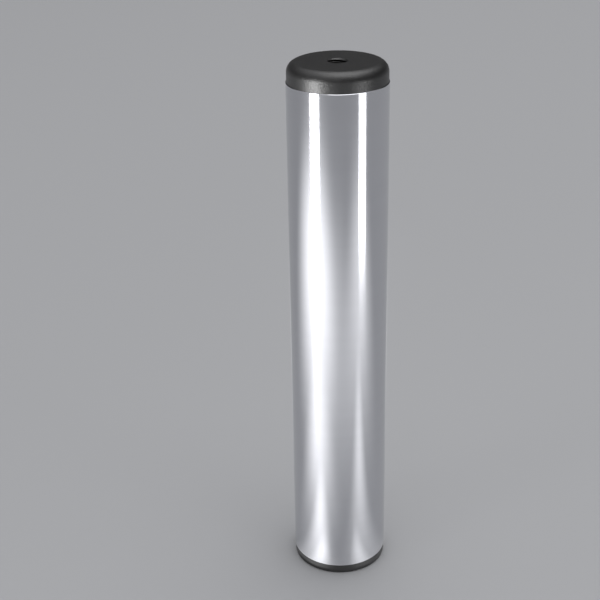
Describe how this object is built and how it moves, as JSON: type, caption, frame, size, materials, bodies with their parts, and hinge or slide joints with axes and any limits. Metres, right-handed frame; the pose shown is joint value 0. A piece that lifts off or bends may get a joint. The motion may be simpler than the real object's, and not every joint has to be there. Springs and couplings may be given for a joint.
{
  "type": "guide pillar",
  "caption": "Straight round steel guide pillar, ground along its guiding length, with a black rounded lead-in, a tapped hole in the tip and a black foot.",
  "frame": {"origin": "centre of the foot's face, on which the pillar stands", "axes": "+Z along the pillar's axis, from the foot to the tip"},
  "size_m": [0.025, 0.025, 0.14],
  "materials": {
    "ground_steel": "finely ground, bright",
    "black_skin": "matt black skin left by hardening, on the lead-in, the foot and in the holes"
  },
  "bodies": {
    "root": {"pillar": "ground_steel"}
  },
  "joints": []
}
